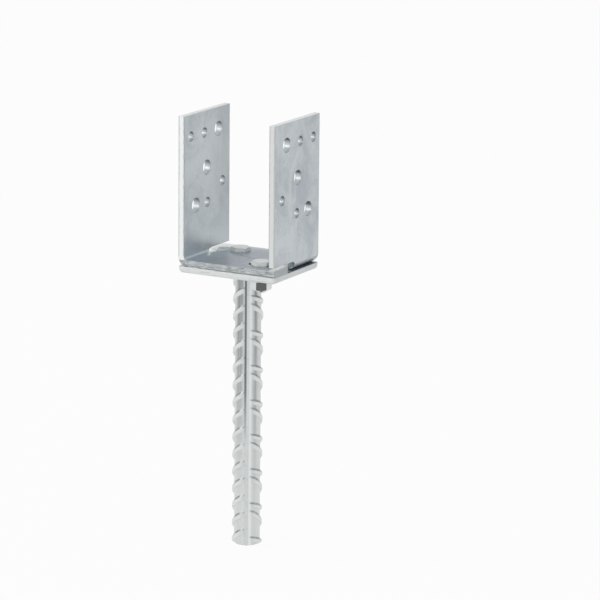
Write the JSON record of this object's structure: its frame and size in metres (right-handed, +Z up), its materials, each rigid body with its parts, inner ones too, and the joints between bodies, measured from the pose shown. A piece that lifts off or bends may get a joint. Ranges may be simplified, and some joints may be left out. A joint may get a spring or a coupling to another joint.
{
  "type": "timber post base",
  "caption": "Adjustable U-shaped timber post base: two slotted L brackets bolted to a plate on a ribbed anchor bar for casting into concrete.",
  "frame": {"origin": "on the anchor bar's axis at the underside of the base plate, where the concrete ends", "axes": "+Z up out of the concrete, X across the post space from the left side plate to the right one, -Y the front"},
  "size_m": [0.08, 0.065, 0.32],
  "materials": {
    "zinc_sheet": "hot-dip galvanised, satin",
    "zinc_plate": "hot-dip galvanised, satin",
    "zinc_bar": "hot-dip galvanised, bright",
    "zinc_fastener": "zinc plated, satin"
  },
  "bodies": {
    "base": {"base_plate": "zinc_plate", "anchor_bar": "zinc_bar", "front_bolt": "zinc_fastener", "rear_bolt": "zinc_fastener", "front_washer": "zinc_fastener", "rear_washer": "zinc_fastener", "front_nut": "zinc_fastener", "rear_nut": "zinc_fastener"},
    "left_bracket": {"left_bracket": "zinc_sheet"},
    "right_bracket": {"right_bracket": "zinc_sheet"}
  },
  "joints": [
    {"name": "left_bracket_slide", "type": "slide", "parent": "base", "child": "left_bracket", "axis": [-1, 0, 0], "range_m": [0, 0.01]},
    {"name": "right_bracket_slide", "type": "slide", "parent": "base", "child": "right_bracket", "axis": [1, 0, 0], "range_m": [0, 0.01]}
  ]
}
